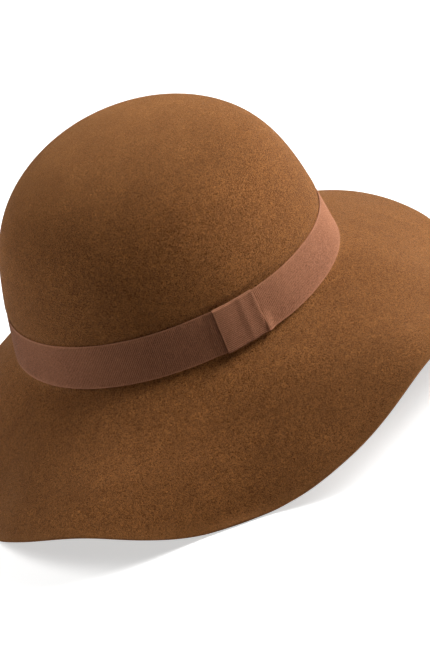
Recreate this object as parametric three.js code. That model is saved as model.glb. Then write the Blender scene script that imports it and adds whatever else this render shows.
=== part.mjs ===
import * as THREE from 'three';

// Felt sun hat, in millimetres and degrees. +Z is up, the front of the hat faces -Y
// and the wearer's left side faces +X. Angles round the hat start at +X and run toward +Y.

// Felt body: inside of the head opening at the top of the ribbon's seat, and the felt itself
const HEAD_LENGTH = 194;
const HEAD_WIDTH = 170;
const FELT = 2;

// Crown above the seat: its height, how far it has drawn in at the top as a share of its width,
// and how square its shoulder is
const CROWN_HEIGHT = 92;
const CROWN_TAPER = 0.19;
const CROWN_SHOULDER = 3.6;

// The felt swells out over the ribbon's upper edge, where the ribbon draws it in
const SWELL = 0.6;
const SWELL_HEIGHT = 6;

// Ribbon band and its seat on the wall of the crown, which flares toward the brim
const RIBBON_WIDTH = 27;
const RIBBON = 1;
const WALL_FLARE = 9;
const GAP = 0.3;

// Brim: its width along the felt, and the length over which the wall turns into it
const BRIM_WIDTH = 97;
const BREAK_LENGTH = 8;

// Falls of the brim below level round the hat, at its root beside the ribbon and at its rim
const BRIM_FOLDS = [
  { at: -105, root: 32, rim: 49 },
  { at: -80, root: 33, rim: 52 },
  { at: -62, root: 25, rim: 31 },
  { at: -46, root: 23, rim: 24 },
  { at: -30, root: 29, rim: 46 },
  { at: -14, root: 32, rim: 52 },
  { at: 6, root: 24, rim: 28 },
  { at: 28, root: 15, rim: 5 },
  { at: 54, root: 24, rim: 31 },
  { at: 78, root: 33, rim: 53 },
  { at: 104, root: 28, rim: 37 },
  { at: 135, root: 24, rim: 30 },
  { at: 188, root: 32, rim: 53 },
  { at: 228, root: 30, rim: 44 },
];

// The lowest folds are pressed flat where they rest, by this height, in a lip of at least this width.
// What is within the margin of the rest height lies on the surface
const PRESS = 4.2;
const LIP = 2.5;
const REST_MARGIN = 0.05;

// Ribbon keeper: a sleeve of the same ribbon round the band, with a soft ridge down its middle
// and a slack end that stands off the band
const KEEPER_AT = 4;
const KEEPER_WIDTH = 26;
const KEEPER_RIDGE = 0.5;
const KEEPER_SLACK = 1;
const KEEPER_SLACK_SHARE = 0.45;
const FOLD_CHAMFER = 0.4;

// How the band rides over the keeper's back: along it in keeper widths from the keeper's middle,
// up in thicknesses of the keeper's back with its clearance
const BAND_RIDE = [
  { at: -0.75, up: 0 },
  { at: -0.5, up: 1 },
  { at: 0.5, up: 1.5 },
  { at: 0.9, up: 1.2 },
  { at: 2.6, up: 0 },
];

// Mesh steps. The band's columns are finer up to a place beside the keeper, in keeper widths
const FELT_COLUMNS = 72;
const CROWN_ROWS = 11;
const WALL_ROWS = 3;
const BRIM_ROWS = 12;
const BRIM_ROW_GROWTH = 1.5;
const BRIM_STEPS = 194;
const BAND_COLUMNS = 72;
const BAND_FINE_COLUMNS = 3;
const BAND_FINE_END = 0.9;
const KEEPER_COLUMNS = 12;

const FELT_COLOUR = 0x8a5c38;
const RIBBON_COLOUR = 0x8d6249;
const FELT_ROUGHNESS = 0.95;
const RIBBON_ROUGHNESS = 0.75;

const HALF_LENGTH = HEAD_LENGTH / 2 + FELT;
const HALF_WIDTH = HEAD_WIDTH / 2 + FELT;
const FOLD = RIBBON + GAP;
const BAND_TOP = GAP;
const BAND_BOTTOM = BAND_TOP + RIBBON_WIDTH;
const WALL_HEIGHT = BAND_BOTTOM + GAP;
const FLARE = THREE.MathUtils.degToRad(WALL_FLARE);
const BRIM_STEP = BRIM_WIDTH / BRIM_STEPS;

// Oval of the crown's foot: a point on it and its outward direction there
function ovalAt(angle) {
  const turn = THREE.MathUtils.degToRad(angle);
  const foot = new THREE.Vector3(HALF_WIDTH * Math.cos(turn), HALF_LENGTH * Math.sin(turn), 0);
  const outward = new THREE.Vector3(HALF_LENGTH * Math.cos(turn), HALF_WIDTH * Math.sin(turn), 0);
  return { foot, outward: outward.normalize() };
}

// Point beside the flared wall: a distance down it and a distance out from its face
function wallPoint(angle, down, out) {
  const { foot, outward } = ovalAt(angle);
  const point = foot.addScaledVector(outward, down * Math.sin(FLARE) + out * Math.cos(FLARE));
  point.z = out * Math.sin(FLARE) - down * Math.cos(FLARE);
  return point;
}

// Point on the crown at a share of its height
function crownPoint(angle, rise) {
  const { foot, outward } = ovalAt(angle);
  const height = rise * CROWN_HEIGHT;
  const swell = SWELL * THREE.MathUtils.smoothstep(height, 0, SWELL_HEIGHT);
  const width = (1 - CROWN_TAPER * rise) * Math.sqrt(1 - rise ** CROWN_SHOULDER);
  const point = foot.addScaledVector(outward, swell).multiplyScalar(width);
  point.z = height;
  return point;
}

// Smooth closed curve through a table's rows, at an angle round the hat
function foldAt(angle, column) {
  const count = BRIM_FOLDS.length;
  const row = (index) => BRIM_FOLDS[THREE.MathUtils.euclideanModulo(index, count)][column];
  const place = (index) => {
    const turns = Math.floor(index / count);
    return BRIM_FOLDS[index - turns * count].at + 360 * turns;
  };
  const first = BRIM_FOLDS[0].at;
  const here = first + THREE.MathUtils.euclideanModulo(angle - first, 360);
  let low = count - 1;
  while (place(low) > here) {
    low -= 1;
  }
  const span = place(low + 1) - place(low);
  const share = (here - place(low)) / span;
  const slope = (index) => (row(index + 1) - row(index - 1)) / (place(index + 1) - place(index - 1));
  const start = (2 * share ** 3 - 3 * share ** 2 + 1) * row(low);
  const leave = (share ** 3 - 2 * share ** 2 + share) * span * slope(low);
  const end = (3 * share ** 2 - 2 * share ** 3) * row(low + 1);
  const arrive = (share ** 3 - share ** 2) * span * slope(low + 1);
  return start + leave + end + arrive;
}

// Section of the brim from the foot of the wall to the rim, as reach outward and drop, kept
// above a lowest drop along which the felt lies flat
function brimSection(angle, lowest) {
  const root = foldAt(angle, 'root');
  const rim = foldAt(angle, 'rim');
  const section = [{ reach: 0, drop: 0 }];
  for (let step = 0; step < BRIM_STEPS; step += 1) {
    const share = (step + 0.5) / BRIM_STEPS;
    const fall = THREE.MathUtils.lerp(root, rim, THREE.MathUtils.smoothstep(share, 0, 1));
    const turn = Math.exp(-(((share * BRIM_WIDTH) / BREAK_LENGTH) ** 2));
    const lean = THREE.MathUtils.degToRad(fall + (90 - WALL_FLARE - fall) * turn);
    const last = section[step];
    const sink = Math.min(BRIM_STEP * Math.sin(lean), lowest - last.drop);
    const run = Math.sqrt(BRIM_STEP ** 2 - sink ** 2);
    section.push({ reach: last.reach + run, drop: last.drop + sink });
  }
  return section;
}

// Angles of the felt's columns round the hat
function feltAngles() {
  return Array.from({ length: FELT_COLUMNS }, (_, column) => (360 * column) / FELT_COLUMNS);
}

// Drop of the lowest folds where they lie on the surface
function restDrop(angles) {
  const drops = angles.map((angle) => brimSection(angle, Infinity)[BRIM_STEPS].drop);
  return Math.max(...drops) - PRESS;
}

// Steps of the brim's section that carry a row of points, closest where it turns
function brimRowSteps() {
  const rows = Array.from({ length: BRIM_ROWS }, (_, row) => ((row + 1) / BRIM_ROWS) ** BRIM_ROW_GROWTH);
  const steps = rows.map((share) => Math.round(share * BRIM_STEPS));
  steps.splice(BRIM_ROWS - 1, 0, BRIM_STEPS - Math.round(LIP / BRIM_STEP));
  return steps;
}

// Rows of points over the felt's upper face, from the ring below the crown's tip to the rim
function feltRows(angles, lowest) {
  const rows = [];
  for (let row = 1; row <= CROWN_ROWS; row += 1) {
    const rise = Math.cos((row / CROWN_ROWS) * (Math.PI / 2));
    rows.push(angles.map((angle) => crownPoint(angle, row === CROWN_ROWS ? 0 : rise)));
  }
  rows.splice(CROWN_ROWS - 1, 0, angles.map((angle) => crownPoint(angle, SWELL_HEIGHT / CROWN_HEIGHT)));
  for (let row = 1; row <= WALL_ROWS; row += 1) {
    rows.push(angles.map((angle) => wallPoint(angle, (row / WALL_ROWS) * WALL_HEIGHT, 0)));
  }
  const sections = angles.map((angle) => brimSection(angle, lowest));
  for (const step of brimRowSteps()) {
    rows.push(angles.map((angle, column) => {
      const { reach, drop } = sections[column][step];
      const point = wallPoint(angle, WALL_HEIGHT, 0).addScaledVector(ovalAt(angle).outward, reach);
      point.z -= drop;
      return point;
    }));
  }
  return rows;
}

// Direction out of a face of rows at one of its points
function faceNormal(rows, tip, row, column) {
  const ring = rows[row];
  const count = ring.length;
  const above = row === 0 ? tip : rows[row - 1][column];
  const below = rows[Math.min(row + 1, rows.length - 1)][column];
  const down = below.clone().sub(above);
  const along = ring[(column + 1) % count].clone().sub(ring[(column + count - 1) % count]);
  return down.cross(along).normalize();
}

// Geometry from points and triangles
function solidGeometry(points, triangles) {
  const geometry = new THREE.BufferGeometry().setFromPoints(points);
  geometry.setIndex(triangles);
  geometry.computeVertexNormals();
  return geometry;
}

// Two triangles between four corners
function addQuad(triangles, a, b, c, d) {
  triangles.push(a, b, c, a, c, d);
}

// Skin between neighbouring rings of points that start at two indices, seen from the first ring's outside
function addStrip(triangles, from, to, count) {
  for (let column = 0; column < count; column += 1) {
    const next = (column + 1) % count;
    addQuad(triangles, from + column, to + column, to + next, from + next);
  }
}

// Skin between a tip and the ring round it
function addFan(triangles, tip, ring, count, outward) {
  for (let column = 0; column < count; column += 1) {
    const here = ring + column;
    const next = ring + ((column + 1) % count);
    triangles.push(tip, ...(outward ? [here, next] : [next, here]));
  }
}

// Closed skin of an upper and an under face that share their rows, joined at the rim
function sheetGeometry(upperTip, upper, underTip, under) {
  const count = upper[0].length;
  const points = [upperTip, ...upper.flat(), underTip, ...under.flat()];
  const underStart = 1 + upper.length * count;
  const ring = (start, row) => start + 1 + row * count;
  const rim = upper.length - 1;
  const triangles = [];
  addFan(triangles, 0, ring(0, 0), count, true);
  addFan(triangles, underStart, ring(underStart, 0), count, false);
  for (let row = 0; row < rim; row += 1) {
    addStrip(triangles, ring(0, row), ring(0, row + 1), count);
    addStrip(triangles, ring(underStart, row + 1), ring(underStart, row), count);
  }
  addStrip(triangles, ring(0, rim), ring(underStart, rim), count);
  return solidGeometry(points, triangles);
}

// Closed ring of sections, each a closed loop of the same number of points
function ringGeometry(sections) {
  const size = sections[0].length;
  const at = (section, corner) => (section % sections.length) * size + (corner % size);
  const triangles = [];
  for (let section = 0; section < sections.length; section += 1) {
    for (let corner = 0; corner < size; corner += 1) {
      const next = corner + 1;
      const after = section + 1;
      addQuad(triangles, at(section, corner), at(after, corner), at(after, next), at(section, next));
    }
  }
  return solidGeometry(sections.flat(), triangles);
}

function feltGeometry() {
  const angles = feltAngles();
  const lowest = restDrop(angles);
  const upper = feltRows(angles, lowest);
  const tip = new THREE.Vector3(0, 0, CROWN_HEIGHT);
  const rest = wallPoint(0, WALL_HEIGHT, 0).z - lowest;
  const under = upper.map((ring, row) => ring.map((point, column) => {
    const inner = point.clone().addScaledVector(faceNormal(upper, tip, row, column), -FELT);
    const lies = point.z <= rest + REST_MARGIN;
    inner.z = lies ? rest - FELT : Math.max(inner.z, rest - FELT);
    return inner;
  }));
  return sheetGeometry(tip, upper, new THREE.Vector3(0, 0, CROWN_HEIGHT - FELT), under);
}

// Length of the oval per degree beside the keeper
function keeperArc() {
  const half = 0.5;
  return ovalAt(KEEPER_AT + half).foot.distanceTo(ovalAt(KEEPER_AT - half).foot);
}

// Height of the band off its seat, at an angle round the hat
function bandRide(angle) {
  const turn = THREE.MathUtils.euclideanModulo(angle - KEEPER_AT + 180, 360) - 180;
  const place = (turn * keeperArc()) / KEEPER_WIDTH;
  const next = BAND_RIDE.findIndex((row) => row.at > place);
  if (next <= 0) {
    return 0;
  }
  const low = BAND_RIDE[next - 1];
  const high = BAND_RIDE[next];
  const share = THREE.MathUtils.smoothstep(place, low.at, high.at);
  return FOLD * THREE.MathUtils.lerp(low.up, high.up, share);
}

// Angles of the band's columns, closer where it rides over the keeper
function bandAngles() {
  const step = 360 / BAND_COLUMNS;
  const first = KEEPER_AT + (BAND_RIDE[0].at * KEEPER_WIDTH) / keeperArc();
  const fineSpan = (BAND_FINE_END - BAND_RIDE[0].at) * KEEPER_WIDTH;
  const fineCount = Math.ceil(fineSpan / keeperArc() / step);
  const angles = [];
  for (let column = 0; column < BAND_COLUMNS; column += 1) {
    const parts = column < fineCount ? BAND_FINE_COLUMNS : 1;
    for (let part = 0; part < parts; part += 1) {
      angles.push(first + (column + part / parts) * step);
    }
  }
  return angles;
}

function bandGeometry() {
  const sections = bandAngles().map((angle) => {
    const back = GAP + bandRide(angle);
    const face = back + RIBBON;
    return [
      wallPoint(angle, BAND_TOP, back),
      wallPoint(angle, BAND_BOTTOM, back),
      wallPoint(angle, BAND_BOTTOM, face),
      wallPoint(angle, BAND_TOP, face),
    ];
  });
  return ringGeometry(sections);
}

// Inside and outside of the keeper's front, off the wall, at a share of its width
function keeperFront(angle, share) {
  const ridge = KEEPER_RIDGE * (1 - Math.abs(2 * share - 1));
  const slack = KEEPER_SLACK * (1 - THREE.MathUtils.smoothstep(share, 0, KEEPER_SLACK_SHARE));
  const inside = GAP + bandRide(angle) + RIBBON + GAP + ridge + slack;
  return { inside, outside: inside + RIBBON };
}

// The keeper's cross-section round the band, corner by corner: distance down the wall, and off it
// given the front's distance, on the sleeve's outside or inside
function keeperLoop(front, outside) {
  const thick = outside ? FOLD : GAP;
  const top = BAND_TOP - thick;
  const bottom = BAND_BOTTOM + thick;
  const back = outside ? GAP : GAP + RIBBON;
  const chamfer = outside ? FOLD_CHAMFER : GAP / 2;
  return [
    { down: top + chamfer, off: front },
    { down: bottom - chamfer, off: front },
    { down: bottom, off: front - chamfer },
    { down: bottom, off: back + chamfer },
    { down: bottom - chamfer, off: back },
    { down: top + chamfer, off: back },
    { down: top, off: back + chamfer },
    { down: top, off: front - chamfer },
  ];
}

function keeperGeometry() {
  const shares = Array.from({ length: KEEPER_COLUMNS + 1 }, (_, column) => column / KEEPER_COLUMNS);
  const stations = shares.map((share) => {
    const angle = KEEPER_AT + ((share - 0.5) * KEEPER_WIDTH) / keeperArc();
    const front = keeperFront(angle, share);
    return { angle, outside: keeperLoop(front.outside, true), inside: keeperLoop(front.inside, false) };
  });
  const place = (angle, spot) => wallPoint(angle, spot.down, spot.off);
  const corners = stations[0].outside.length;
  const sections = Array.from({ length: corners }, (_, corner) => {
    const outer = stations.map(({ angle, outside }) => place(angle, outside[corner]));
    const inner = stations.map(({ angle, inside }) => place(angle, inside[corner])).reverse();
    return [...outer, ...inner];
  });
  return ringGeometry(sections);
}

function namedMesh(name, geometry, color, roughness) {
  const material = new THREE.MeshStandardMaterial({ color, roughness, metalness: 0 });
  const mesh = new THREE.Mesh(geometry, material);
  mesh.name = name;
  return mesh;
}

const hat = new THREE.Group();
hat.add(namedMesh('felt_body', feltGeometry(), FELT_COLOUR, FELT_ROUGHNESS));
hat.add(namedMesh('ribbon_band', bandGeometry(), RIBBON_COLOUR, RIBBON_ROUGHNESS));
hat.add(namedMesh('ribbon_keeper', keeperGeometry(), RIBBON_COLOUR, RIBBON_ROUGHNESS));

// The hat stands on z = 0 with the middle of its outline over the origin
const bounds = new THREE.Box3().setFromObject(hat, true);
const middle = bounds.getCenter(new THREE.Vector3());
hat.position.set(-middle.x, -middle.y, -bounds.min.z);

export default hat;
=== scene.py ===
"""Sun hat of brown wool felt: round crown, wide drooping brim, grosgrain band and keeper."""
import math

import bpy
from mathutils import Matrix, Vector, noise


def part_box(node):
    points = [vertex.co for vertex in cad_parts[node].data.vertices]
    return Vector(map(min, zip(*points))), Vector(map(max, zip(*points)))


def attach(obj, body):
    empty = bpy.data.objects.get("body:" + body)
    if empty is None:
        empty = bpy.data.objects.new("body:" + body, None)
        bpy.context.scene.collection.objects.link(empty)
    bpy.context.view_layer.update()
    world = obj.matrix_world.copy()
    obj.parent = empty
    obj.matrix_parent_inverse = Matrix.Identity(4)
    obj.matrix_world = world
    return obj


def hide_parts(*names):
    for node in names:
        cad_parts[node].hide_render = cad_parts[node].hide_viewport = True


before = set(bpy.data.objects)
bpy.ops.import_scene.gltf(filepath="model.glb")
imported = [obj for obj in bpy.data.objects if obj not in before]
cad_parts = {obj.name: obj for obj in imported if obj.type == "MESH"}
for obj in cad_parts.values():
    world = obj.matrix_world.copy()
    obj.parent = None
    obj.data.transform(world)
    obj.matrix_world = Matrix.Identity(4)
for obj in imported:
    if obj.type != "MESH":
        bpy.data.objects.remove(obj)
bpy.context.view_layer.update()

MM = 0.001

# Felt body: its outside oval at the ribbon's upper edge, the crown above that, the felt's
# thickness, and its swell over the ribbon's edge
HALF_LENGTH = 99 * MM
HALF_WIDTH = 87 * MM
CROWN_HEIGHT = 92 * MM
CROWN_TAPER = 0.19
CROWN_SHOULDER = 3.6
FELT = 2 * MM
SWELL = 1.5 * MM
SWELL_HEIGHT = 5 * MM

# Ribbon: its width, its thickness here and in the solids. Wall behind it: gap, flare and height
RIBBON_WIDTH = 27 * MM
RIBBON = 0.7 * MM
SOLID_RIBBON = 1 * MM
SEAT_GAP = 0.3 * MM
WALL_FLARE = math.radians(9)
WALL_HEIGHT = RIBBON_WIDTH + 2 * SEAT_GAP
WALL_DROP = WALL_HEIGHT * math.cos(WALL_FLARE)

# Brim: its width along the felt, the length over which the wall turns into it, and its folds
# round the hat: angle from the wearer's left toward the back, fall at the root and at the rim
BRIM_WIDTH = 97 * MM
BREAK_LENGTH = 4 * MM
ROOT_FALL = 2
BRIM_STEPS = 194
BRIM_FOLDS = (
    (-105, 32, 49),
    (-80, 33, 52),
    (-62, 25, 31),
    (-46, 23, 24),
    (-30, 29, 46),
    (-14, 32, 52),
    (6, 24, 28),
    (28, 15, 5),
    (54, 24, 31),
    (78, 33, 53),
    (104, 28, 37),
    (135, 24, 30),
    (188, 32, 53),
    (228, 30, 44),
)

# Soft dents and rises that handling has left in the brim: angle, share of the brim's width,
# how far each spreads round the hat in degrees and across the brim, and its rise.
# They fade out toward the foot of the wall and where the brim rests.
BRIM_DENTS = (
    (-12, 0.42, 13, 0.24, -3.8 * MM),
    (0, 0.75, 13, 0.22, -3.0 * MM),
    (-38, 0.74, 15, 0.26, 4.0 * MM),
    (10, 0.27, 10, 0.16, 1.8 * MM),
    (74, 0.60, 12, 0.22, 0.8 * MM),
    (31, 0.95, 11, 0.40, 2.6 * MM),
)
DENT_FREE_ROOT = 0.2
DENT_FREE_REST = 8 * MM

# Keeper: its place, width and ribbon, how far it stands past the band's edges and off its face,
# and the looseness of its front edge
KEEPER_AT = 4
KEEPER_WIDTH = 26 * MM
KEEPER_RIBBON = 0.6 * MM
KEEPER_OVER = 0.5 * MM
KEEPER_AIR = 0.2 * MM
KEEPER_CORNER = 1.3 * MM
KEEPER_SLACK = 1.2 * MM
KEEPER_SLACK_SHARE = 0.7

# Waves in its face: share of the width from the front edge, spread, rise
KEEPER_WAVES = (
    (0.64, 0.08, 0.36 * MM),
    (0.80, 0.05, -0.08 * MM),
    (0.96, 0.06, 0.25 * MM),
)

# How the band rides over the keeper's back: places in keeper widths, heights in steps
FOLD_STEP = 1.3 * MM
BAND_RIDE = ((-0.75, 0.0), (-0.5, 1.0), (0.5, 1.5), (0.9, 1.2), (2.6, 0.0))

# Where the hat stands in the frame: the band's box gives the middle of the oval, the felt's box
# the top of the crown
BAND_LOW, BAND_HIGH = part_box("ribbon_band")
CROWN_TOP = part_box("felt_body")[1].z
BAND_OUT = (SEAT_GAP + SOLID_RIBBON) * math.cos(WALL_FLARE)
BAND_HALF = HALF_WIDTH + (RIBBON_WIDTH + SEAT_GAP) * math.sin(WALL_FLARE) + BAND_OUT
BAND_MIDDLE = (BAND_LOW.y + BAND_HIGH.y) / 2
CENTRE = Vector((BAND_LOW.x + BAND_HALF, BAND_MIDDLE, CROWN_TOP - CROWN_HEIGHT))
REST_DROP = CENTRE.z - WALL_DROP - FELT
SMOOTH_ANGLE = math.radians(60)


def smoothstep(value, low, high):
    """Soft step from 0 at low to 1 at high."""
    share = min(max((value - low) / (high - low), 0.0), 1.0)
    return share * share * (3 - 2 * share)


def mix(low, high, share):
    """A value between low and high."""
    return low + (high - low) * share


def oval_at(angle):
    """A point on the crown's foot and its outward direction, at an angle in degrees."""
    turn = math.radians(angle)
    foot = Vector((HALF_WIDTH * math.cos(turn), HALF_LENGTH * math.sin(turn), 0))
    outward = Vector((HALF_LENGTH * math.cos(turn), HALF_WIDTH * math.sin(turn), 0))
    return foot, outward.normalized()


def wall_point(angle, down, out):
    """A place beside the flared wall, down it and off it."""
    foot, outward = oval_at(angle)
    point = foot + outward * (down * math.sin(WALL_FLARE) + out * math.cos(WALL_FLARE))
    point.z = out * math.sin(WALL_FLARE) - down * math.cos(WALL_FLARE)
    return point


def crown_point(angle, rise):
    """A place on the crown, at a share of its height."""
    foot, outward = oval_at(angle)
    height = rise * CROWN_HEIGHT
    width = (1 - CROWN_TAPER * rise) * math.sqrt(max(1 - rise**CROWN_SHOULDER, 0))
    point = (foot + outward * SWELL * smoothstep(height, 0, SWELL_HEIGHT)) * width
    point.z = height
    return point


def fold_at(angle, column):
    """Smooth closed curve through one column of the brim's table."""
    count = len(BRIM_FOLDS)
    first = BRIM_FOLDS[0][0]
    here = first + (angle - first) % 360

    def place(index):
        return BRIM_FOLDS[index % count][0] + 360 * (index // count)

    def value(index):
        return BRIM_FOLDS[index % count][column]

    def slope(index):
        return (value(index + 1) - value(index - 1)) / (place(index + 1) - place(index - 1))

    low = count - 1
    while place(low) > here:
        low -= 1
    span = place(low + 1) - place(low)
    share = (here - place(low)) / span
    start = (2 * share**3 - 3 * share**2 + 1) * value(low)
    leave = (share**3 - 2 * share**2 + share) * span * slope(low)
    end = (3 * share**2 - 2 * share**3) * value(low + 1)
    arrive = (share**3 - share**2) * span * slope(low + 1)
    return start + leave + end + arrive


def brim_section(angle):
    """Reach and drop of the brim from the foot of the wall to the rim, flat where it rests."""
    root = fold_at(angle, 1) + ROOT_FALL
    rim = fold_at(angle, 2)
    step = BRIM_WIDTH / BRIM_STEPS
    section = [(0.0, 0.0)]
    for index in range(BRIM_STEPS):
        share = (index + 0.5) / BRIM_STEPS
        fall = mix(root, rim, smoothstep(share, 0, 1))
        turn = math.exp(-((share * BRIM_WIDTH / BREAK_LENGTH) ** 2))
        lean = math.radians(fall) + (math.pi / 2 - WALL_FLARE - math.radians(fall)) * turn
        reach, drop = section[-1]
        sink = min(step * math.sin(lean), REST_DROP - drop)
        section.append((reach + math.sqrt(step**2 - sink**2), drop + sink))
    return section


def deselect_all():
    bpy.ops.object.select_all(action="DESELECT")


def activate(piece):
    deselect_all()
    piece.select_set(True)
    bpy.context.view_layer.objects.active = piece


def apply_modifier(piece, kind, **values):
    """Adds one modifier, sets it and applies it."""
    activate(piece)
    modifier = piece.modifiers.new(kind.title(), kind)
    for key, value in values.items():
        setattr(modifier, key, value)
    bpy.ops.object.modifier_apply(modifier=modifier.name)


def finish_mesh(piece, name):
    """Names a piece and leaves its place in its mesh."""
    activate(piece)
    bpy.ops.object.transform_apply(location=True, rotation=True, scale=True)
    bpy.ops.object.shade_smooth_by_angle(angle=SMOOTH_ANGLE)
    piece.name = name
    piece.data.name = name


# Felt body's columns and rows. The crown's even rows stop at CROWN_ROWS_END swell heights
FELT_COLUMNS = 144
CROWN_ROWS = 22
CROWN_ROWS_END = 1.5
SWELL_ROWS = 4
WALL_ROWS = 4
BRIM_ROWS = 30
BRIM_ROW_GROWTH = 1.5
TUBE_STEP = 2 * MM
TIP_RISE = 0.99995
TIP_SLACK = 1e-7
RIM_BEVEL = 0.35 * MM
RIM_ANGLE = math.radians(60)

# Rubbed rim and painted highlight: width of the rubbed rim, its step round the hat in degrees, and
# the painted highlight that lightens the crown's top: the height it starts at and its strength
RIM_WEAR = 6 * MM
RIM_WEAR_STEP = 3
TIP_HIGHLIGHT_FROM = 45 * MM
TIP_HIGHLIGHT = 0.8

# Unevenness of the felt, and the heights between which it sets in off the ribbon and the floor
LUMP = 0.35 * MM
LUMP_SPACING = 55 * MM
LUMP_ABOVE = (SWELL_HEIGHT, 4 * SWELL_HEIGHT)
LUMP_BELOW = (2 * SWELL_HEIGHT, 5 * SWELL_HEIGHT)
LUMP_LIFT = (3 * FELT, 8 * FELT)


def felt_stations():
    """Rows of the felt from the tip to the rim: the part each is on, and how far along."""
    quarter = math.pi / 2
    rises = [math.cos(row / CROWN_ROWS * quarter) for row in range(1, CROWN_ROWS + 1)]
    swell_top = SWELL_HEIGHT / CROWN_HEIGHT
    stations = [("crown", TIP_RISE)]
    stations += [("crown", rise) for rise in rises if rise > swell_top * CROWN_ROWS_END]
    stations += [("crown", swell_top * (1 - row / SWELL_ROWS)) for row in range(SWELL_ROWS + 1)]
    stations += [("wall", (row + 1) / WALL_ROWS * WALL_HEIGHT) for row in range(WALL_ROWS)]
    shares = [((row + 1) / BRIM_ROWS) ** BRIM_ROW_GROWTH for row in range(BRIM_ROWS)]
    return stations + [("brim", round(share * BRIM_STEPS)) for share in shares]


def brim_dent(angle, share):
    """Rise of the brim's dents at a place on it."""
    rise = 0.0
    for at, across, spread, depth, height in BRIM_DENTS:
        aside = ((angle - at + 180) % 360 - 180) / spread
        rise += height * math.exp(-(aside**2) - ((share - across) / depth) ** 2)
    return rise


def felt_point(angle, station, section):
    """A place on the felt's outside, at an angle and a row."""
    part, along = station
    if part == "crown":
        return crown_point(angle, along)
    if part == "wall":
        return wall_point(angle, along, 0)
    reach, drop = section[along]
    point = wall_point(angle, WALL_HEIGHT, 0) + oval_at(angle)[1] * reach
    share = along / BRIM_STEPS
    clear = smoothstep(REST_DROP - drop, 0, DENT_FREE_REST)
    point.z += brim_dent(angle, share) * clear * smoothstep(share, 0, DENT_FREE_ROOT) - drop
    return point


def raise_tube(rows):
    """A tube of felt standing in plain rings, ready to be blocked to the hat's form."""
    deselect_all()
    bpy.ops.mesh.primitive_circle_add(
        vertices=FELT_COLUMNS, radius=HALF_WIDTH, fill_type="NOTHING"
    )
    tube = bpy.context.object
    bpy.ops.object.mode_set(mode="EDIT")
    bpy.ops.mesh.select_all(action="SELECT")
    for _ in range(rows - 1):
        bpy.ops.mesh.extrude_edges_move(
            TRANSFORM_OT_translate={"value": (0, 0, -TUBE_STEP)}
        )
    bpy.ops.object.mode_set(mode="OBJECT")
    return tube


def block_felt(tube, stations):
    """Lays each ring of the tube on the hat's form, lowering the brim by its folds."""
    step = 360 / FELT_COLUMNS
    sections = {column: brim_section(column * step) for column in range(FELT_COLUMNS)}
    for vertex in tube.data.vertices:
        angle = math.degrees(math.atan2(vertex.co.y, vertex.co.x))
        column = round(angle / step) % FELT_COLUMNS
        row = round(-vertex.co.z / TUBE_STEP)
        vertex.co = felt_point(column * step, stations[row], sections[column]) + CENTRE


def close_tip(felt):
    """Closes the ring at the top of the crown with a fan round a middle point."""
    activate(felt)
    top = max(vertex.co.z for vertex in felt.data.vertices)
    bpy.ops.object.mode_set(mode="EDIT")
    bpy.ops.mesh.select_all(action="DESELECT")
    bpy.ops.object.mode_set(mode="OBJECT")
    for vertex in felt.data.vertices:
        vertex.select = vertex.co.z > top - TIP_SLACK
    bpy.ops.object.mode_set(mode="EDIT")
    bpy.ops.mesh.select_mode(type="VERT")
    bpy.ops.mesh.edge_face_add()
    bpy.ops.mesh.poke()
    bpy.ops.mesh.select_all(action="SELECT")
    bpy.ops.mesh.normals_make_consistent(inside=False)
    bpy.ops.object.mode_set(mode="OBJECT")


def lump_felt(felt):
    """Moves the felt a little in and out, as blocked felt never lies quite even."""
    normals = [vertex.normal.copy() for vertex in felt.data.vertices]
    wall_foot = CENTRE.z - WALL_DROP
    for vertex, normal in zip(felt.data.vertices, normals):
        height = vertex.co.z
        above = smoothstep(height, CENTRE.z + LUMP_ABOVE[0], CENTRE.z + LUMP_ABOVE[1])
        below = smoothstep(wall_foot - height, *LUMP_BELOW)
        lift = smoothstep(height, *LUMP_LIFT)
        push = noise.noise(vertex.co / LUMP_SPACING) * LUMP * max(above, below) * lift
        vertex.co += normal * push


def rim_radii():
    """Direction and distance of the cut edge from the hat's middle, all round."""
    radii = []
    for angle in range(0, 360, RIM_WEAR_STEP):
        reach = brim_section(angle)[-1][0]
        rim = wall_point(angle, WALL_HEIGHT, 0) + oval_at(angle)[1] * reach
        radii.append((math.degrees(math.atan2(rim.y, rim.x)), rim.xy.length))
    return radii


def mark_wear_and_tip_highlight(felt):
    """Keeps how much each place is lightened: the rubbed cut edge all round, and a painted
    highlight on the top of the crown.
    """
    layer = felt.data.attributes.new("wear_and_tip_highlight", "FLOAT", "POINT")
    radii = rim_radii()
    for vertex in felt.data.vertices:
        place = vertex.co - CENTRE
        angle = math.degrees(math.atan2(place.y, place.x))
        rim = min(radii, key=lambda pair: abs((pair[0] - angle + 180) % 360 - 180))[1]
        edge = smoothstep(place.xy.length, rim - RIM_WEAR, rim)
        # Painted highlight: the top of the crown is made lighter in colour
        tip = smoothstep(place.z, TIP_HIGHLIGHT_FROM, CROWN_HEIGHT)
        layer.data[vertex.index].value = max(edge, TIP_HIGHLIGHT * tip)


def make_felt():
    """The felt body: blocked, closed, thickened and rounded at its cut edge."""
    stations = felt_stations()
    felt = raise_tube(len(stations))
    block_felt(felt, stations)
    close_tip(felt)
    lump_felt(felt)
    apply_modifier(
        felt, "SOLIDIFY", thickness=FELT, offset=-1, use_even_offset=True, use_rim=True
    )
    for vertex in felt.data.vertices:
        vertex.co.z = max(vertex.co.z, 0.0)
    apply_modifier(
        felt, "BEVEL", width=RIM_BEVEL, segments=2, limit_method="ANGLE", angle_limit=RIM_ANGLE
    )
    apply_modifier(felt, "SUBSURF", levels=1, render_levels=1)
    finish_mesh(felt, "felt_hat_body")
    return felt


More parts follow.
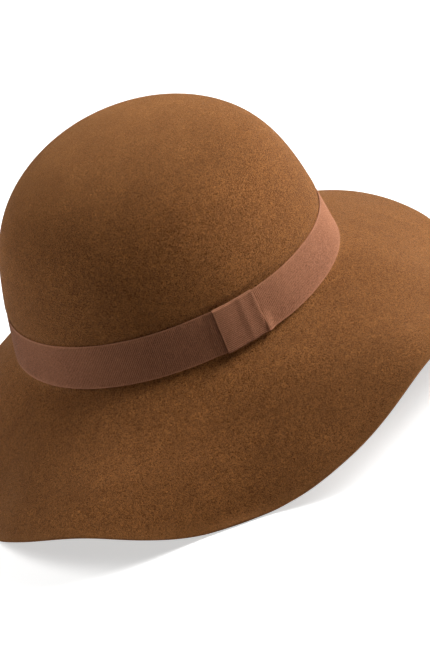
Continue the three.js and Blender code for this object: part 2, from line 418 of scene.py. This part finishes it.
# Ribbon's face: ribs across its width, a firm woven edge on each side
RIB_PITCH = 1.1 * MM
RIB_DEPTH = 0.25 * MM
RIB_COLUMNS = 4
EDGE_WIDTH = 0.9 * MM
EDGE_FIRM = 0.3
EDGE_RISE = 0.1 * MM
WELD_REACH = 0.02 * MM
GIRTH_STEPS = 720
ANGLE_STEPS = 3600
BAND_ROWS = 12

# Fullness of the band beside the keeper: rise, reach along the band, how far under the keeper
# it starts, and where it sets in and is full across the ribbon
PUCKER = 1.9 * MM
PUCKER_REACH = 6 * MM
PUCKER_UNDER = 2 * MM
PUCKER_FROM = 0.45 * RIBBON_WIDTH
PUCKER_FULL = 0.95 * RIBBON_WIDTH


def rib(along):
    """Rise of the ribbon's face over one rib, along its length."""
    return RIB_DEPTH * (0.5 - 0.5 * math.cos(2 * math.pi * along / RIB_PITCH))


def ribbon_relief(along, across, width):
    """Rise of the ribbon's face: ribs between the two woven edges."""
    edge = min(across, width - across)
    inner = smoothstep(edge, EDGE_FIRM * EDGE_WIDTH, EDGE_WIDTH)
    return rib(along) * inner + EDGE_RISE * (1 - inner)


def keeper_arc():
    """Length of the oval per degree beside the keeper."""
    return (oval_at(KEEPER_AT + 0.5)[0] - oval_at(KEEPER_AT - 0.5)[0]).length


def keeper_place(angle):
    """Distance along the band from the keeper's middle, toward the back."""
    return ((angle - KEEPER_AT + 180) % 360 - 180) * keeper_arc()


def band_ride(angle):
    """Height of the band off its seat."""
    place = keeper_place(angle) / KEEPER_WIDTH
    for (low, up_low), (high, up_high) in zip(BAND_RIDE, BAND_RIDE[1:]):
        if low <= place < high:
            return FOLD_STEP * mix(up_low, up_high, smoothstep(place, low, high))
    return 0.0


def pucker(angle, across):
    """Fullness of the band where it comes out from under the keeper's lower back corner."""
    beyond = keeper_place(angle) - KEEPER_WIDTH / 2
    along = 1 - smoothstep(beyond, 0, PUCKER_REACH)
    inside = smoothstep(beyond, -PUCKER_UNDER, 0)
    low = smoothstep(across, PUCKER_FROM, PUCKER_FULL)
    return PUCKER * along * inside * low


def ribbon_grid(columns, rows):
    """A flat woven strip, one unit square, to be laid on its place."""
    deselect_all()
    bpy.ops.mesh.primitive_grid_add(x_subdivisions=columns, y_subdivisions=rows, size=1)
    return bpy.context.object


def lay_ribbon(strip, place, length, width):
    """Moves each point of a unit strip by its shares along and across; its UV is both in mm."""
    layer = strip.data.uv_layers.active
    shares = [(vertex.co.x + 0.5, vertex.co.y + 0.5) for vertex in strip.data.vertices]
    for loop in strip.data.loops:
        along, across = shares[loop.vertex_index]
        layer.data[loop.index].uv = (along * length / MM, across * width / MM)
    for vertex, (along, across) in zip(strip.data.vertices, shares):
        vertex.co = place(along, across) + CENTRE


def weld(piece, distance):
    """Joins the ends of a closed strip."""
    activate(piece)
    bpy.ops.object.mode_set(mode="EDIT")
    bpy.ops.mesh.select_all(action="SELECT")
    bpy.ops.mesh.remove_doubles(threshold=distance)
    bpy.ops.mesh.normals_make_consistent(inside=False)
    bpy.ops.object.mode_set(mode="OBJECT")


def band_girth():
    """Length round the band's face at its middle height."""
    angles = [360 * step / GIRTH_STEPS for step in range(GIRTH_STEPS)]
    points = [wall_point(angle, RIBBON_WIDTH / 2, SEAT_GAP + RIBBON) for angle in angles]
    return sum((points[step] - points[step - 1]).length for step in range(GIRTH_STEPS))


def even_angles(steps):
    """Angles round the band at even lengths of ribbon."""
    fine = ANGLE_STEPS
    points = [wall_point(360 * step / fine, RIBBON_WIDTH / 2, 0) for step in range(fine + 1)]
    lengths = [0.0]
    for step in range(fine):
        lengths.append(lengths[-1] + (points[step + 1] - points[step]).length)
    angles = []
    low = 0
    for step in range(steps + 1):
        wanted = lengths[-1] * step / steps
        while low < fine - 1 and lengths[low + 1] < wanted:
            low += 1
        share = (wanted - lengths[low]) / (lengths[low + 1] - lengths[low])
        angles.append(360 * (low + share) / fine)
    return angles


def make_band():
    """The band, and the length of ribbon in it."""
    girth = band_girth()
    ribs = round(girth / RIB_PITCH)
    columns = ribs * RIB_COLUMNS
    angles = even_angles(columns)
    strip = ribbon_grid(columns, BAND_ROWS)

    def place(along, across):
        angle = angles[round(along * columns)] + KEEPER_AT
        down = across * RIBBON_WIDTH
        relief = ribbon_relief(along * ribs * RIB_PITCH, down, RIBBON_WIDTH)
        seat = SEAT_GAP + RIBBON - RIB_DEPTH
        out = seat + band_ride(angle) + pucker(angle, down) + relief
        return wall_point(angle, SEAT_GAP + down, out)

    lay_ribbon(strip, place, girth, RIBBON_WIDTH)
    weld(strip, WELD_REACH)
    apply_modifier(strip, "SOLIDIFY", thickness=RIBBON - RIB_DEPTH, offset=-1, use_rim=True)
    finish_mesh(strip, "grosgrain_band")
    return strip, girth


# Keeper's turn of ribbon round the band, with rounded folds above and below it
KEEPER_COLUMNS = 48
FOLD_POINTS = 10


def keeper_angle(share):
    """Angle on the hat at a share of the keeper's width."""
    return KEEPER_AT + (share - 0.5) * KEEPER_WIDTH / keeper_arc()


def keeper_front(share):
    """Distance of the keeper's face off the wall, at a share of its width."""
    waves = 0.0
    for at, spread, rise in KEEPER_WAVES:
        waves += rise * math.exp(-(((share - at) / spread) ** 2))
    slack = KEEPER_SLACK * (1 - smoothstep(share, 0, KEEPER_SLACK_SHARE))
    band_face = SEAT_GAP + band_ride(keeper_angle(share)) + RIBBON
    return band_face + KEEPER_AIR + KEEPER_RIBBON + max(waves, 0) + slack


def keeper_loop(front):
    """One turn of the keeper, from the middle of its back: places down the wall and off it."""
    back = SEAT_GAP + KEEPER_RIBBON / 2
    top = SEAT_GAP - KEEPER_OVER
    bottom = SEAT_GAP + RIBBON_WIDTH + KEEPER_OVER
    corner = min((front - back) / 2, KEEPER_CORNER)
    path = [((top + bottom) / 2, back)]

    def arc(down, off, start):
        for point in range(FOLD_POINTS + 1):
            turn = start + point / FOLD_POINTS * math.pi / 2
            path.append((down + corner * math.cos(turn), off + corner * math.sin(turn)))

    arc(bottom - corner, back + corner, -math.pi / 2)
    arc(bottom - corner, front - corner, 0)
    arc(top + corner, front - corner, math.pi / 2)
    arc(top + corner, back + corner, math.pi)
    path.append(path[0])
    return [Vector(point) for point in path]


def path_lengths(path):
    """Length of a path up to each of its points."""
    lengths = [0.0]
    for low, high in zip(path, path[1:]):
        lengths.append(lengths[-1] + (high - low).length)
    return lengths


def along_path(path, share):
    """Point and outward direction at a share of a closed path's length."""
    lengths = path_lengths(path)
    wanted = lengths[-1] * share
    index = 0
    while index < len(path) - 2 and lengths[index + 1] < wanted:
        index += 1
    span = lengths[index + 1] - lengths[index]
    part = (wanted - lengths[index]) / span if span > 0 else 0
    point = path[index].lerp(path[index + 1], min(max(part, 0), 1))
    ahead = (path[index + 1] - path[index]).normalized()
    return point, Vector((ahead.y, -ahead.x))


def make_keeper():
    """The keeper, and the length of ribbon in it."""
    shares = [column / KEEPER_COLUMNS for column in range(KEEPER_COLUMNS + 1)]
    loops = [keeper_loop(keeper_front(share)) for share in shares]
    girth = path_lengths(loops[KEEPER_COLUMNS // 2])[-1]
    ribs = round(girth / RIB_PITCH)
    rows = ribs * RIB_COLUMNS
    strip = ribbon_grid(rows, KEEPER_COLUMNS)

    def place(along, across):
        path = loops[round(across * KEEPER_COLUMNS)]
        point, outward = along_path(path, along)
        relief = ribbon_relief(along * ribs * RIB_PITCH, across * KEEPER_WIDTH, KEEPER_WIDTH)
        spot = point + outward * (relief - RIB_DEPTH)
        return wall_point(keeper_angle(across), spot.x, spot.y)

    lay_ribbon(strip, place, girth, KEEPER_WIDTH)
    weld(strip, WELD_REACH)
    apply_modifier(strip, "SOLIDIFY", thickness=KEEPER_RIBBON - RIB_DEPTH, offset=-1, use_rim=True)
    finish_mesh(strip, "grosgrain_keeper")
    return strip, girth


# Shared effects
def new_group(name, inputs, outputs):
    """A node group with its inputs and outputs."""
    group = bpy.data.node_groups.new(name, "ShaderNodeTree")
    for label, kind, value in inputs:
        socket = group.interface.new_socket(label, in_out="INPUT", socket_type=kind)
        if value is not None:
            socket.default_value = value
    for label, kind in outputs:
        group.interface.new_socket(label, in_out="OUTPUT", socket_type=kind)
    return group, group.nodes.new("NodeGroupInput"), group.nodes.new("NodeGroupOutput")


def scaled_place(group, given):
    """The group's Vector input, multiplied by its Scale input."""
    scaled = group.nodes.new("ShaderNodeVectorMath")
    scaled.operation = "SCALE"
    group.links.new(given.outputs["Vector"], scaled.inputs[0])
    group.links.new(given.outputs["Scale"], scaled.inputs["Scale"])
    return scaled.outputs["Vector"]


def add_noise(tree, vector, scale, detail, roughness, distortion):
    """A noise texture's value."""
    node = tree.nodes.new("ShaderNodeTexNoise")
    node.inputs["Scale"].default_value = scale
    node.inputs["Detail"].default_value = detail
    node.inputs["Roughness"].default_value = roughness
    node.inputs["Distortion"].default_value = distortion
    tree.links.new(vector, node.inputs["Vector"])
    return node.outputs["Fac"]


def add_math(tree, operation, first, second):
    """One step of arithmetic on numbers or sockets."""
    node = tree.nodes.new("ShaderNodeMath")
    node.operation = operation
    for socket, value in zip(node.inputs, (first, second)):
        if isinstance(value, (int, float)):
            socket.default_value = value
        else:
            tree.links.new(value, socket)
    return node.outputs[0]


def add_range(tree, value, from_low, from_high, to_low, to_high):
    """A value moved from one range to another, held at its ends."""
    node = tree.nodes.new("ShaderNodeMapRange")
    node.inputs["From Min"].default_value = from_low
    node.inputs["From Max"].default_value = from_high
    node.inputs["To Min"].default_value = to_low
    node.inputs["To Max"].default_value = to_high
    tree.links.new(value, node.inputs["Value"])
    return node.outputs["Result"]


def add_mix(tree, factor, first, second):
    """A mix of two colours."""
    node = tree.nodes.new("ShaderNodeMix")
    node.data_type = "RGBA"
    tree.links.new(factor, node.inputs["Factor"])
    for label, value in (("A", first), ("B", second)):
        sockets = [item for item in node.inputs if item.type == "RGBA"]
        socket = next(item for item in sockets if item.name == label)
        if isinstance(value, tuple):
            socket.default_value = value
        else:
            tree.links.new(value, socket)
    return next(item for item in node.outputs if item.type == "RGBA")


def stretched(tree, vector, stretch):
    """Places scaled by a different amount each way, so that marks on them run lengthwise."""
    node = tree.nodes.new("ShaderNodeVectorMath")
    node.operation = "MULTIPLY"
    tree.links.new(vector, node.inputs[0])
    node.inputs[1].default_value = stretch
    return node.outputs["Vector"]


# Fibres: scale, detail, roughness and distortion of each noise
CURLS = (1100, 2, 0.7, 1.2)
TUFTS = (430, 2, 0.5, 0.9)
COARSE_FIBRES = (500, 1, 0.6, 1.5)
FINE_FIBRES = (720, 1, 0.6, 1.5)
FIBRE_WIDTH = 0.045

# Share of each in the height, and the heights that are darkest and lightest
CURLS_SHARE = 0.6
TUFTS_SHARE = 0.1
FIBRES_SHARE = 0.25
SHADE_FROM = 0.33
SHADE_TO = 0.57

# Slow tone: scale, detail, roughness and distortion, and the range that is spread to 0 and 1
DRIFT = (14, 3, 0.55, 0)
DRIFT_FROM = 0.35
DRIFT_TO = 0.65


def fibre_lines(tree, vector, settings):
    """Thin wandering lines, 1 on a fibre and 0 between fibres."""
    field = add_noise(tree, vector, *settings)
    away = add_math(tree, "ABSOLUTE", add_math(tree, "SUBTRACT", field, 0.5), 0)
    return add_range(tree, away, 0, FIBRE_WIDTH, 1, 0)


def fibre_group():
    """Tangled fibres: a height and a light-dark mask, finer as Scale grows."""
    group, given, put = new_group(
        "tangled_fibres",
        [("Vector", "NodeSocketVector", None), ("Scale", "NodeSocketFloat", 1.0)],
        [(label, "NodeSocketFloat") for label in ("Height", "Shade", "Strands")],
    )
    vector = scaled_place(group, given)
    curls = add_noise(group, vector, *CURLS)
    tufts = add_noise(group, vector, *TUFTS)
    coarse = fibre_lines(group, vector, COARSE_FIBRES)
    strands = add_math(group, "MAXIMUM", coarse, fibre_lines(group, vector, FINE_FIBRES))
    height = add_math(group, "MULTIPLY", curls, CURLS_SHARE)
    for part, share in ((tufts, TUFTS_SHARE), (strands, FIBRES_SHARE)):
        height = add_math(group, "ADD", height, add_math(group, "MULTIPLY", part, share))
    group.links.new(height, put.inputs["Height"])
    shade = add_range(group, height, SHADE_FROM, SHADE_TO, 0, 1)
    group.links.new(shade, put.inputs["Shade"])
    group.links.new(strands, put.inputs["Strands"])
    return group


def drift_group():
    """Slow change of tone over a piece, from 0 to 1."""
    group, given, put = new_group(
        "slow_tone",
        [("Vector", "NodeSocketVector", None), ("Scale", "NodeSocketFloat", 1.0)],
        [("Tone", "NodeSocketFloat")],
    )
    tone = add_noise(group, scaled_place(group, given), *DRIFT)
    group.links.new(add_range(group, tone, DRIFT_FROM, DRIFT_TO, 0, 1), put.inputs["Tone"])
    return group


def use_group(tree, group, vector, scale):
    """A shared effect placed in a material."""
    node = tree.nodes.new("ShaderNodeGroup")
    node.node_tree = group
    tree.links.new(vector, node.inputs["Vector"])
    node.inputs["Scale"].default_value = scale
    return node


SHEEN_ROUGHNESS = 0.5


def new_material(name, roughness, sheen, sheen_tint, gloss, gloss_tint):
    """A cloth material with its shader's constant values set."""
    material = bpy.data.materials.new(name)
    material.use_nodes = True
    shader = material.node_tree.nodes["Principled BSDF"]
    shader.inputs["Roughness"].default_value = roughness
    shader.inputs["Sheen Weight"].default_value = sheen
    shader.inputs["Sheen Roughness"].default_value = SHEEN_ROUGHNESS
    shader.inputs["Sheen Tint"].default_value = sheen_tint
    shader.inputs["Specular IOR Level"].default_value = gloss
    shader.inputs["Specular Tint"].default_value = gloss_tint
    return material, material.node_tree, shader


def add_bump(tree, shader, height, distance):
    """Fine relief in the shader's normal."""
    bump = tree.nodes.new("ShaderNodeBump")
    bump.inputs["Distance"].default_value = distance
    bump.inputs["Strength"].default_value = 1.0
    tree.links.new(height, bump.inputs["Height"])
    tree.links.new(bump.outputs["Normal"], shader.inputs["Normal"])


# Felt: colours, how strongly each effect shows, and the stretch and scale of its clouds
FELT_LIGHT = (0.31, 0.102, 0.0185, 1)
FELT_DARK = (0.076, 0.0215, 0.004, 1)
# Lighter felt for the rubbed cut edge, also used for the painted highlight on the crown's top
FELT_WORN_AND_HIGHLIGHT = (0.29, 0.12, 0.038, 1)
FELT_FIBRE = (0.6, 0.262, 0.088, 1)
STRAY_SHOWS = 0.46
WEAR_AND_HIGHLIGHT_SHOWS = 0.5
SLOW_SHOWS = 0.16
CLOUDS_SHOW = 0.24
CLOUD_STRETCH = (1.0, 0.6, 1.3)
CLOUD_SCALE = 4.5
FELT_BUMP = 1.2 * MM


def felt_material(fibres, drift):
    """Brown wool felt: tangled fibres, slow changes of tone, a rubbed cut edge and a painted
    highlight on the crown's top.
    """
    material, tree, shader = new_material(
        "brown_wool_felt",
        roughness=0.8,
        sheen=0.34,
        sheen_tint=(1.0, 0.52, 0.24, 1),
        gloss=0.12,
        gloss_tint=(1.0, 0.55, 0.25, 1),
    )
    place = tree.nodes.new("ShaderNodeTexCoord").outputs["Object"]
    nap = use_group(tree, fibres, place, 1.0)
    tone = use_group(tree, drift, place, 1.0)
    clouds = use_group(tree, drift, stretched(tree, place, CLOUD_STRETCH), CLOUD_SCALE)
    colour = add_mix(tree, nap.outputs["Shade"], FELT_DARK, FELT_LIGHT)
    stray = add_math(tree, "MULTIPLY", nap.outputs["Strands"], STRAY_SHOWS)
    colour = add_mix(tree, stray, colour, FELT_FIBRE)
    # Lightens the rubbed cut edge and paints a highlight on the crown's top
    wear_and_highlight = tree.nodes.new("ShaderNodeAttribute")
    wear_and_highlight.attribute_name = "wear_and_tip_highlight"
    edge = add_math(tree, "MULTIPLY", wear_and_highlight.outputs["Fac"], WEAR_AND_HIGHLIGHT_SHOWS)
    colour = add_mix(tree, edge, colour, FELT_WORN_AND_HIGHLIGHT)
    for group, shows in ((tone, SLOW_SHOWS), (clouds, CLOUDS_SHOW)):
        share = add_range(tree, group.outputs["Tone"], 0, 1, 0, shows)
        colour = add_mix(tree, share, colour, FELT_DARK)
    tree.links.new(colour, shader.inputs["Base Color"])
    add_bump(tree, shader, nap.outputs["Height"], FELT_BUMP)
    return material


# Ribbon: colours, the slow tone's scale and strength, and the painted highlight along the woven
# edge, by its
#  distance in mm from a line along the ribbon's middle
RIBBON_LIGHT = (0.44, 0.182, 0.094, 1)
RIBBON_DARK = (0.1, 0.036, 0.017, 1)
# Paler colour that paints a highlight along the ribbon's woven edges
RIBBON_EDGE_HIGHLIGHT = (0.38, 0.156, 0.081, 1)
RIBBON_TONE_SCALE = 2.0
RIBBON_TONE_SHOWS = 0.2
SELVEDGE_LINE = 13.4
SELVEDGE_FROM = 12.4
SELVEDGE_FULL = 13.2
SELVEDGE_HIGHLIGHT_SHOWS = 0.6


def ribbon_material(name, fibres, drift, rib_share, thread_bump):
    """Rose brown grosgrain: ribs along its UV, woven threads and a painted highlight along its
    edges.
    """
    material, tree, shader = new_material(
        name,
        roughness=0.65,
        sheen=0.2,
        sheen_tint=(1.0, 0.56, 0.38, 1),
        gloss=0.2,
        gloss_tint=(1.0, 0.6, 0.42, 1),
    )
    coordinates = tree.nodes.new("ShaderNodeTexCoord")
    split = tree.nodes.new("ShaderNodeSeparateXYZ")
    tree.links.new(coordinates.outputs["UV"], split.inputs[0])
    turns = add_math(tree, "MULTIPLY", split.outputs["X"], 2 * math.pi * MM / RIB_PITCH)
    crest = add_math(tree, "COSINE", turns, 0)
    crest = add_range(tree, crest, -1, 1, 1, 0)
    threads = use_group(tree, fibres, coordinates.outputs["Object"], 1.0)
    tone = use_group(tree, drift, coordinates.outputs["Object"], RIBBON_TONE_SCALE)
    crest = add_math(tree, "MULTIPLY", crest, rib_share)
    speckle = add_math(tree, "MULTIPLY", threads.outputs["Shade"], 1 - rib_share)
    shade = add_math(tree, "ADD", crest, speckle)
    colour = add_mix(tree, shade, RIBBON_DARK, RIBBON_LIGHT)
    slow = add_range(tree, tone.outputs["Tone"], 0, 1, 0, RIBBON_TONE_SHOWS)
    colour = add_mix(tree, slow, colour, RIBBON_LIGHT)
    # Painted highlight: the woven edges are made paler, standing in for light catching them
    from_line = add_math(tree, "SUBTRACT", split.outputs["Y"], SELVEDGE_LINE)
    from_line = add_math(tree, "ABSOLUTE", from_line, 0)
    edge_highlight = add_range(tree, from_line, SELVEDGE_FROM, SELVEDGE_FULL, 0, SELVEDGE_HIGHLIGHT_SHOWS)
    colour = add_mix(tree, edge_highlight, colour, RIBBON_EDGE_HIGHLIGHT)
    tree.links.new(colour, shader.inputs["Base Color"])
    add_bump(tree, shader, threads.outputs["Height"], thread_bump)
    return material


def give_material(piece, material):
    """Makes one material the piece's only one."""
    piece.data.materials.clear()
    piece.data.materials.append(material)


# Studio: the floor and the surround are bright to the camera only, so that they don't light the hat
FLOOR_SIZE = 12.0
FLOOR_COLOUR = (0.8, 0.8, 0.795, 1)
FLOOR_ROUGHNESS = 0.9
FLOOR_GLOW = 0.72
FLOOR_BOUNCE = 0.1
WORLD_STRENGTH = 0.03
WORLD_SEEN = 0.9

# Camera: where it looks from, its roll, its distance, and its aim right of and above the middle
VIEW_AZIMUTH = math.radians(76.48)
VIEW_ELEVATION = math.radians(29.41)
VIEW_ROLL = math.radians(20.8)
VIEW_DISTANCE = 1.8815
VIEW_AIM = (14.52 * MM, -49.56 * MM)
FOCAL_PIXELS = 3168.8
LONG_SIDE_PIXELS = 645
SENSOR = 36.0
VIEW_END = 50


def picture_axes():
    """The camera's back, right and up directions, and right and up before it is rolled."""
    flat = math.cos(VIEW_ELEVATION)
    high = math.sin(VIEW_ELEVATION)
    back = Vector((math.sin(VIEW_AZIMUTH) * flat, -math.cos(VIEW_AZIMUTH) * flat, high))
    level = (-back).cross(Vector((0, 0, 1))).normalized()
    upright = level.cross(-back)
    right = level * math.cos(VIEW_ROLL) - upright * math.sin(VIEW_ROLL)
    up = level * math.sin(VIEW_ROLL) + upright * math.cos(VIEW_ROLL)
    return back, right, up, level, upright


def make_camera():
    """The camera, placed and turned as in the photo."""
    back, right, up, level, upright = picture_axes()
    data = bpy.data.cameras.new("camera")
    data.sensor_width = SENSOR
    data.lens = FOCAL_PIXELS / LONG_SIDE_PIXELS * SENSOR
    data.clip_end = VIEW_END
    camera = bpy.data.objects.new("camera", data)
    bpy.context.scene.collection.objects.link(camera)
    aim = CENTRE + level * VIEW_AIM[0] + upright * VIEW_AIM[1]
    turn = Matrix((right, up, back)).transposed().to_4x4()
    camera.matrix_world = Matrix.Translation(aim + back * VIEW_DISTANCE) @ turn
    bpy.context.scene.camera = camera


def set_by_camera(tree, socket, unseen, seen):
    """Gives a socket one value for what the camera sees and another for all other light."""
    camera_ray = tree.nodes.new("ShaderNodeLightPath").outputs["Is Camera Ray"]
    tree.links.new(add_range(tree, camera_ray, 0, 1, unseen, seen), socket)


def make_floor():
    """A plain pale floor."""
    deselect_all()
    bpy.ops.mesh.primitive_plane_add(size=FLOOR_SIZE)
    floor = bpy.context.object
    floor.name = "studio_floor"
    material = bpy.data.materials.new("studio_floor")
    material.use_nodes = True
    tree = material.node_tree
    shader = tree.nodes["Principled BSDF"]
    shader.inputs["Base Color"].default_value = FLOOR_COLOUR
    shader.inputs["Roughness"].default_value = FLOOR_ROUGHNESS
    shader.inputs["Emission Color"].default_value = FLOOR_COLOUR
    set_by_camera(tree, shader.inputs["Emission Strength"], FLOOR_BOUNCE, FLOOR_GLOW)
    give_material(floor, material)


# Lamps: name, direction round from +X and height in degrees, distance and side in metres, watts
LIGHTS_ABOVE = 30 * MM
LIGHTS = (
    ("key", 75, 35, 2.0, 1.0, 28),
    ("low_key", 92, 14, 2.0, 1.0, 29),
    ("crown_light", 75, 40, 0.62, 0.3, 3.0),
    ("front_fill", -110, 36, 0.62, 0.36, 3.0),
)


def make_world():
    """A pale surround that gives little light of its own."""
    world = bpy.data.worlds.new("studio")
    world.use_nodes = True
    background = world.node_tree.nodes["Background"]
    background.inputs["Color"].default_value = (1, 1, 1, 1)
    set_by_camera(world.node_tree, background.inputs["Strength"], WORLD_STRENGTH, WORLD_SEEN)
    bpy.context.scene.world = world


def make_lights():
    """Soft square lamps, each facing the hat."""
    for name, round_degrees, high_degrees, distance, side, watts in LIGHTS:
        data = bpy.data.lights.new(name, "AREA")
        data.shape = "SQUARE"
        data.size = side
        data.energy = watts
        light = bpy.data.objects.new(name, data)
        bpy.context.scene.collection.objects.link(light)
        turn = math.radians(round_degrees)
        high = math.radians(high_degrees)
        flat = math.cos(high)
        toward = Vector((math.cos(turn) * flat, math.sin(turn) * flat, math.sin(high)))
        light.location = CENTRE + Vector((0, 0, LIGHTS_ABOVE)) + toward * distance
        light.rotation_mode = "QUATERNION"
        light.rotation_quaternion = toward.to_track_quat("Z", "Y")


make_camera()
make_floor()
make_world()
make_lights()

felt_body = make_felt()
mark_wear_and_tip_highlight(felt_body)
band, band_length = make_band()
keeper, keeper_length = make_keeper()

fibres = fibre_group()
drift = drift_group()
give_material(felt_body, felt_material(fibres, drift))
for piece, name, rib_share, thread_bump in (
    (band, "rose_brown_grosgrain", 0.5, 0.5 * MM),
    (keeper, "rose_brown_grosgrain_keeper", 0.7, 0.6 * MM),
):
    give_material(piece, ribbon_material(name, fibres, drift, rib_share, thread_bump))

for piece, node, finish in (
    (felt_body, "felt_body", "felt"),
    (band, "ribbon_band", "ribbon"),
    (keeper, "ribbon_keeper", "ribbon"),
):
    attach(piece, "root")
    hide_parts(node)

bpy.context.scene.view_settings.view_transform = "Standard"
